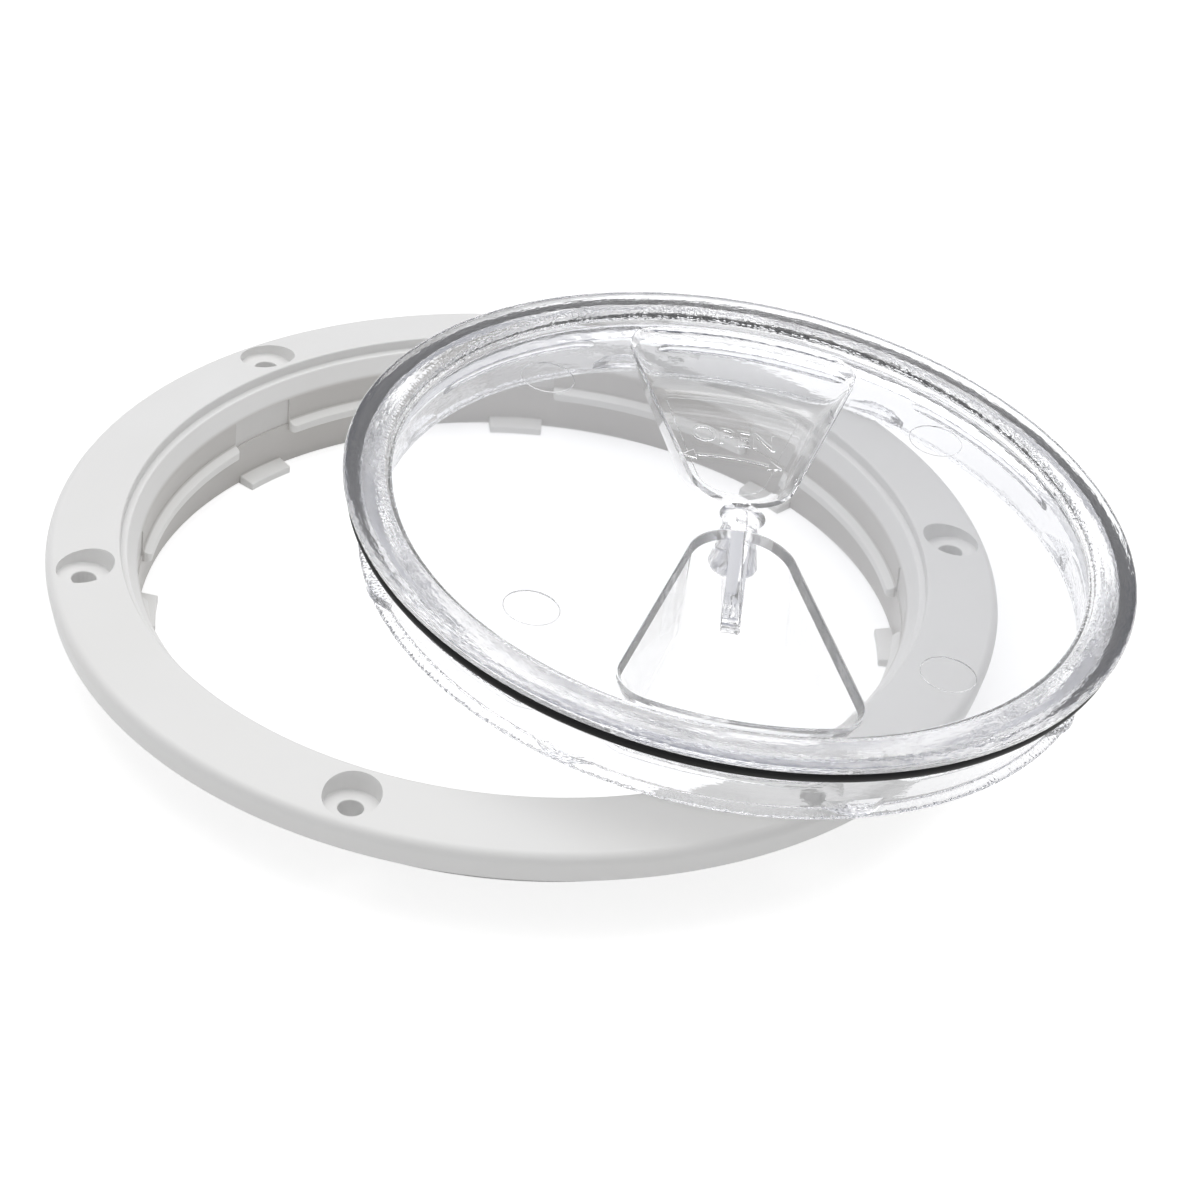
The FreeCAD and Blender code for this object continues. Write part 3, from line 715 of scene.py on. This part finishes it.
combine(lid, spin_sector("shaft", shaft_corners, 90, ARROW_WIDTH, 16), "UNION")
for side in (-1, 1):
    angle = math.radians(90 - side * ARROW_WIDTH / 2)
    tip = ARROW_RADIUS * Vector((math.cos(angle), math.sin(angle)))
    leave_edit()
    bpy.ops.mesh.primitive_cylinder_add(
        vertices=3,
        radius=2.0,
        depth=SINK + MARK_RISE,
        location=(*tip, WELL_FLOOR + (MARK_RISE - SINK) / 2),
        rotation=(0, 0, angle - math.pi / 2 - side * math.pi / 2),
    )
    head = bpy.context.object
    head.name = "arrow_head"
    bpy.ops.object.transform_apply(location=True, rotation=True, scale=False)
    combine(lid, head, "UNION")
print("word and arrow raised, open edges:", open_edges(lid))

# %% [markdown]
# The lid's own frame is upright and centred. The real lid leans on the ring, so the finished
# mesh is turned and moved into that place, and the object itself stays at the origin.

# %% Put the lid in its place
lid_lean = (
    Matrix.Translation(Vector((45.643, -3.849, 27.132)) * TO_METRES)
    @ Matrix.Rotation(math.radians(-4.82), 4, "Z")
    @ Matrix.Rotation(math.radians(5.204), 4, "Y")
    @ Matrix.Rotation(math.radians(6.63), 4, "Z")
)
finish_surface(lid, 32)
lid.data.transform(lid_lean)
lid.name = "clear_plate"
print("lid faces:", len(lid.data.polygons))

# %% [markdown]
# The seal is a rubber ring of round section in the groove under the rim. A moulded seal has a
# fine raised line round its inside and outside, where the two halves of its mould met.

# %% Spin the seal
SEAL_POINTS = 32
SEAL_ROUND = 1.47
SEAL_LINE = 0.03
SEAL_RADIUS, SEAL_LEVEL = 83.53, -3.35
seal_corners = []
for step in range(SEAL_POINTS):
    angle = 2 * math.pi * step / SEAL_POINTS
    radius = SEAL_ROUND + (SEAL_LINE if step in (0, SEAL_POINTS // 2) else 0.0)
    across, up = radius * math.cos(angle), radius * math.sin(angle)
    seal_corners.append((SEAL_RADIUS + across, SEAL_LEVEL + up, 0))
seal = spin_round(draw_section("seal", seal_corners))
finish_surface(seal, 60)
seal.data.transform(lid_lean)
seal.name = "seal_ring"
print("seal faces:", len(seal.data.polygons), "open edges:", open_edges(seal))

# %% [markdown]
# The white plastic is satin. Its colour hardly varies, but the surface scatters light in a
# fine moulded grain, and its gloss changes a little over a few centimetres. Shade is painted
# into its colour on the collar's inner wall. The nodes of a finish are added by a few helpers,
# each of which also links what feeds the new node.

# %% Helpers for finishes


def add_node(tree, kind, values=None, feeds=None, **fields):
    """Add a node, set its fields and its sockets' values, and link what feeds it."""
    node = tree.nodes.new("ShaderNode" + kind)
    for field, value in fields.items():
        setattr(node, field, value)
    for socket, value in (values or {}).items():
        node.inputs[socket].default_value = value
    for socket, source in (feeds or {}).items():
        tree.links.new(source, node.inputs[socket])
    return node


def work_out(tree, operation, *terms):
    """A Math node's result. Its terms are other nodes' outputs or plain numbers."""
    node = add_node(tree, "Math", operation=operation)
    for socket, term in zip(node.inputs, terms):
        if isinstance(term, (int, float)):
            socket.default_value = term
        else:
            tree.links.new(term, socket)
    return node.outputs["Value"]


def add_ramp(tree, source, stops):
    """A colour ramp's output. A new ramp has two stops, which take the first and the last."""
    ramp = add_node(tree, "ValToRGB", feeds={"Fac": source})
    ends = ramp.color_ramp.elements
    for end, (position, colour) in zip(ends, (stops[0], stops[-1])):
        end.position = position
        end.color = (*colour, 1)
    for position, colour in stops[1:-1]:
        ends.new(position).color = (*colour, 1)
    return ramp.outputs["Color"]


def add_range(tree, source, start, end, low=0.0, high=1.0, **fields):
    """A Map Range node's result, which goes from low to high as the source goes start to end."""
    values = {"From Min": start, "From Max": end, "To Min": low, "To Max": high}
    return add_node(tree, "MapRange", values, {"Value": source}, **fields).outputs["Result"]


def add_noise(tree, place, scale, detail):
    """A noise pattern's value."""
    values = {"Scale": scale, "Detail": detail}
    return add_node(tree, "TexNoise", values, {"Vector": place}).outputs["Fac"]


def add_relief(tree, height, strength, distance):
    """A bumped normal from a height."""
    values = {"Strength": strength, "Distance": distance}
    return add_node(tree, "Bump", values, {"Height": height}).outputs["Normal"]


def add_tint(tree, factor, low, high):
    """A colour between two, by a factor."""
    tint = add_node(tree, "Mix", data_type="RGBA")
    tint.inputs["A"].default_value = (*low, 1)
    tint.inputs["B"].default_value = (*high, 1)
    tree.links.new(factor, tint.inputs["Factor"])
    return tint.outputs["Result"]


def from_axis(tree, place):
    """The flat vector from the upright axis to a place, its length, and the place's height."""
    parts = add_node(tree, "SeparateXYZ", feeds={"Vector": place})
    feeds = {"X": parts.outputs["X"], "Y": parts.outputs["Y"]}
    flat = add_node(tree, "CombineXYZ", feeds=feeds).outputs["Vector"]
    length = add_node(tree, "VectorMath", feeds={0: flat}, operation="LENGTH")
    return flat, length.outputs["Value"], parts.outputs["Z"]


def new_finish(name):
    """A material with only its output, and a shader wired to it."""
    finish = bpy.data.materials.new(name)
    finish.use_nodes = True
    tree = finish.node_tree
    tree.nodes.clear()
    shader = add_node(tree, "BsdfPrincipled")
    output = add_node(tree, "OutputMaterial", feeds={"Surface": shader.outputs["BSDF"]})
    return finish, tree, shader, output


def wear(piece, finish):
    """Give a piece this one material."""
    piece.data.materials.clear()
    piece.data.materials.append(finish)


# %% Finish of the white ring, with shade painted into the bore
PURE_WHITE = (1.0, 1.0, 1.0)
# The bore's tone is painted shade: the collar's inner wall is made darker and warmer, where shade
# falls inside the ring. From the ledge outwards the white is a touch darker.
BORE_PAINTED_SHADE = (0.73, 0.715, 0.70)
LEDGE_TONE = (0.93, 0.93, 0.93)
TONES_START, TONES_END = 0.078, 0.090
ring_tones_and_painted_shade = (
    (0.0780, PURE_WHITE),
    (0.0825, (1.0, 1.0, 0.99)),
    (0.0828, BORE_PAINTED_SHADE),
    (0.08315, BORE_PAINTED_SHADE),
    (0.0836, PURE_WHITE),
    (0.0855, PURE_WHITE),
    (0.0859, LEDGE_TONE),
    (0.0900, LEDGE_TONE),
)

white, tree, shader, output = new_finish("satin_white_plastic")
place = add_node(tree, "TexCoord").outputs["Object"]
cloud = add_noise(tree, place, 35.0, 3.0)
tree.links.new(add_range(tree, cloud, 0.0, 1.0, 0.36, 0.5), shader.inputs["Roughness"])
tint = add_tint(tree, cloud, (0.87, 0.865, 0.855), (0.91, 0.91, 0.91))
_, radius, _ = from_axis(tree, place)
zone = add_range(tree, radius, TONES_START, TONES_END)
spread = TONES_END - TONES_START
stops = [((reach - TONES_START) / spread, colour) for reach, colour in ring_tones_and_painted_shade]
# This ramp paints shade into the bore by radius, and darkens the white a touch from the ledge
# outwards.
tone_with_painted_shade = add_ramp(tree, zone, stops)
tint_with_painted_shade = add_node(tree, "Mix", data_type="RGBA", blend_type="MULTIPLY")
tint_with_painted_shade.inputs["Factor"].default_value = 1.0
tree.links.new(tint, tint_with_painted_shade.inputs["A"])
tree.links.new(tone_with_painted_shade, tint_with_painted_shade.inputs["B"])
tree.links.new(tint_with_painted_shade.outputs["Result"], shader.inputs["Base Color"])
grain = add_noise(tree, place, 2200.0, 2.0)
tree.links.new(add_relief(tree, grain, 0.12, 0.0001), shader.inputs["Normal"])
wear(ring, white)
print("white finish nodes:", len(tree.nodes))

# %% [markdown]
# The clear plastic is polycarbonate, which bends light strongly. A few per cent of haze keep
# the light that is caught inside from ending black. Lamps shine through it, so for shadow rays
# it is made plainly see-through, as thin clear plastic nearly is. Otherwise the ring under it
# would be noisy and too dark. The rim is rippled where the plastic flowed round the mould, and
# the ripples run along the rim, so the pattern is stretched that way. Fine specks roughen the
# inner foot of the rim's band and the foot of the skirt.

# %% Finish of the clear lid
STREAKS_ROUND, STREAKS_UP, STREAKS_OUT = 22.0, 900.0, 1100.0
SPECK_WEIGHT = 1.6
RIPPLE_DEPTH = 0.00012

clear, tree, shader, output = new_finish("clear_polycarbonate")
shader.inputs["Base Color"].default_value = (0.985, 0.988, 1.0, 1)
shader.inputs["Transmission Weight"].default_value = 0.965
shader.inputs["IOR"].default_value = 1.57
upright = add_node(
    tree,
    "Mapping",
    feeds={"Vector": add_node(tree, "TexCoord").outputs["Object"]},
    vector_type="TEXTURE",
)
upright.inputs["Location"].default_value = lid_lean.to_translation()
upright.inputs["Rotation"].default_value = lid_lean.to_euler()
upright = upright.outputs["Vector"]
flat, radius, level = from_axis(tree, upright)
gloss = add_range(tree, add_noise(tree, upright, 60.0, 0.0), 0.0, 1.0, 0.0, 0.05)
tree.links.new(gloss, shader.inputs["Roughness"])

# %% Ripples that run along the lid's rim
bearing = add_node(tree, "VectorMath", feeds={0: flat}, operation="NORMALIZE").outputs["Vector"]
round_way = add_node(tree, "VectorMath", {"Scale": STREAKS_ROUND}, {0: bearing}, operation="SCALE")
climb = add_node(tree, "VectorMath", {1: (0, 0, STREAKS_UP)}, {0: upright}, operation="MULTIPLY")
spot = add_node(
    tree,
    "VectorMath",
    feeds={0: round_way.outputs["Vector"], 1: climb.outputs["Vector"]},
    operation="ADD",
)
out_way = work_out(tree, "MULTIPLY", radius, STREAKS_OUT)
streak = add_node(tree, "TexNoise", noise_dimensions="4D")
for socket, value in (("Scale", 1.0), ("Detail", 2.0), ("Roughness", 0.6)):
    streak.inputs[socket].default_value = value
tree.links.new(spot.outputs["Vector"], streak.inputs["Vector"])
tree.links.new(out_way, streak.inputs["W"])
on_rim = add_range(tree, radius, 0.0755, 0.0775, interpolation_type="SMOOTHSTEP")
flow = work_out(tree, "MULTIPLY", streak.outputs["Fac"], on_rim)
print("ripple nodes:", len(tree.nodes))

# %% Specks at the band's inner foot and at the skirt's foot
black, lit = (0, 0, 0), (1, 1, 1)
band = add_range(tree, radius, 0.0756, 0.0788)
rough_band = add_ramp(tree, band, [(0.0, black), (0.1, lit), (0.7, lit), (1.0, black)])
edge = work_out(tree, "MULTIPLY", rough_band, add_range(tree, level, -0.002, -0.0005))
foot = work_out(tree, "MULTIPLY", add_range(tree, level, -0.0152, -0.0162), on_rim)
where = work_out(tree, "MAXIMUM", edge, foot)
specks = work_out(tree, "MULTIPLY", add_noise(tree, upright, 1500.0, 0.0), where)
height = work_out(tree, "MULTIPLY_ADD", specks, SPECK_WEIGHT, flow)
tree.links.new(add_relief(tree, height, 1.0, RIPPLE_DEPTH), shader.inputs["Normal"])

# %% Let shadow rays through the lid
rays = add_node(tree, "LightPath")
soft_ray = work_out(tree, "MAXIMUM", rays.outputs["Is Shadow Ray"], rays.outputs["Is Diffuse Ray"])
window = add_node(tree, "BsdfTransparent", {"Color": (0.93, 0.93, 0.93, 1)})
both = add_node(
    tree,
    "MixShader",
    feeds={"Fac": soft_ray, 1: shader.outputs["BSDF"], 2: window.outputs["BSDF"]},
)
tree.links.new(both.outputs["Shader"], output.inputs["Surface"])
wear(lid, clear)
print("clear finish nodes:", len(tree.nodes))

# %% [markdown]
# The seal is black rubber, a little dusty where it was handled. Rubber is never quite black
# and its shine is broad.

# %% Finish of the seal
rubber, tree, shader, output = new_finish("black_rubber")
place = add_node(tree, "TexCoord").outputs["Object"]
dust = add_noise(tree, place, 180.0, 4.0)
tint = add_tint(tree, dust, (0.003, 0.003, 0.003), (0.008, 0.008, 0.008))
tree.links.new(tint, shader.inputs["Base Color"])
tree.links.new(add_range(tree, dust, 0.0, 1.0, 0.35, 0.6), shader.inputs["Roughness"])
shader.inputs["Specular IOR Level"].default_value = 0.25
wear(seal, rubber)
print("rubber finish nodes:", len(tree.nodes))

# %% [markdown]
# Each finished piece now takes the place of the measured piece that it was shaped after. All
# three belong to one body, because the lid only rests on the ring.

# %% Join the pieces to the measured model
for piece, node, slot in (
    (ring, "flange_ring", "ring_plastic"),
    (lid, "clear_lid", "lid_plastic"),
    (seal, "o_ring", "seal_rubber"),
):
    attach(piece, "root")
    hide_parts(node)
    print(piece.name, "stands for", node)

# %% [markdown]
# The studio is a white table under soft light. The camera and the clear plastic see the table
# as plain white, and the object still leaves a faint shadow on it.

# %% Table
leave_edit()
bpy.ops.mesh.primitive_plane_add(size=8, location=(0, 0, collar_foot * TO_METRES))
table = bpy.context.object
table.name = "table"


def sees_white(tree):
    """A value of one for rays from the camera or from glossy or clear surfaces."""
    rays = add_node(tree, "LightPath").outputs
    seen = work_out(tree, "MAXIMUM", rays["Is Camera Ray"], rays["Is Glossy Ray"])
    return work_out(tree, "MAXIMUM", seen, rays["Is Transmission Ray"])


paper, tree, shader, output = new_finish("white_paper")
shader.inputs["Base Color"].default_value = (0.85, 0.85, 0.85, 1)
shader.inputs["Roughness"].default_value = 0.9
shown = add_node(tree, "BsdfDiffuse", {"Color": (0.45, 0.45, 0.45, 1)}).outputs["BSDF"]
glow = add_node(tree, "Emission", {"Strength": 0.78}).outputs["Emission"]
bright = add_node(tree, "AddShader", feeds={0: shown, 1: glow}).outputs["Shader"]
choose = add_node(
    tree,
    "MixShader",
    feeds={"Fac": sees_white(tree), 1: shader.outputs["BSDF"], 2: bright},
)
tree.links.new(choose.outputs["Shader"], output.inputs["Surface"])
wear(table, paper)
print("paper finish nodes:", len(tree.nodes))

# %% [markdown]
# The room is three backgrounds in one. The camera sees white, matt surfaces are lit by an even
# grey, and shiny and clear surfaces see a sky that is dark at the horizon and white overhead.
# That dark horizon draws the lines that make clear plastic readable. One large soft lamp hangs
# overhead.

# %% Surroundings and lamp
world = bpy.data.worlds.new("studio")
bpy.context.scene.world = world
world.use_nodes = True
tree = world.node_tree
tree.nodes.clear()
direction = add_node(tree, "TexCoord").outputs["Generated"]
parts = add_node(tree, "SeparateXYZ", feeds={"Vector": direction})
sky_stops = ((0.0, (0.19, 0.20, 0.25)), (0.45, (0.40, 0.41, 0.47)), (0.72, (1.0, 1.0, 1.0)))
sky = add_ramp(tree, parts.outputs["Z"], sky_stops)
mirrored = add_node(tree, "Background", feeds={"Color": sky}).outputs["Background"]
fill = add_node(tree, "Background", {"Color": (1, 1, 1, 1), "Strength": 0.5}).outputs["Background"]
plain = add_node(tree, "Background", {"Color": (1, 1, 1, 1)}).outputs["Background"]
rays = add_node(tree, "LightPath").outputs
shiny = work_out(tree, "MAXIMUM", rays["Is Glossy Ray"], rays["Is Transmission Ray"])
lit = add_node(tree, "MixShader", feeds={"Fac": shiny, 1: fill, 2: mirrored}).outputs["Shader"]
seen = add_node(tree, "MixShader", feeds={"Fac": rays["Is Camera Ray"], 1: lit, 2: plain})
add_node(tree, "OutputWorld", feeds={"Surface": seen.outputs["Shader"]})


def soft_lamp(name, place, target, width, height, watts):
    """A large rectangular lamp that points at a place on the table."""
    lamp = bpy.data.lights.new(name, "AREA")
    lamp.shape = "RECTANGLE"
    lamp.size = width
    lamp.size_y = height
    lamp.energy = watts
    holder = bpy.data.objects.new(name, lamp)
    bpy.context.scene.collection.objects.link(holder)
    turn = (Vector(target) - Vector(place)).to_track_quat("-Z", "Y")
    holder.matrix_world = Matrix.Translation(place) @ turn.to_matrix().to_4x4()


soft_lamp("overhead", (-0.15, 0.25, 1.2), (0, 0, 0), 1.4, 1.0, 9.3)
print("lamps:", len(bpy.data.lights))

# %% [markdown]
# The photograph was taken with a long lens from about a metre away, looking down at about 35
# degrees, with the camera rolled a few degrees. Light passes many faces of the clear lid, so
# the renderer follows each ray through more of them than it does by itself.

# %% Camera
lens = bpy.data.cameras.new("camera")
lens.sensor_width = 36.0
lens.lens = 137.83
camera = bpy.data.objects.new("camera", lens)
bpy.context.scene.collection.objects.link(camera)
camera.matrix_world = (
    Matrix.Translation((0.01722, -0.82061, 0.57040))
    @ Matrix.Rotation(math.radians(55.15), 4, "X")
    @ Matrix.Rotation(math.radians(5.93), 4, "Z")
)
bpy.context.scene.camera = camera
bpy.context.scene.view_settings.view_transform = "Standard"
cycles = bpy.context.scene.cycles
cycles.max_bounces = 28
cycles.transmission_bounces = 28
cycles.glossy_bounces = 16
print("camera lens:", round(lens.lens, 2), "mm")
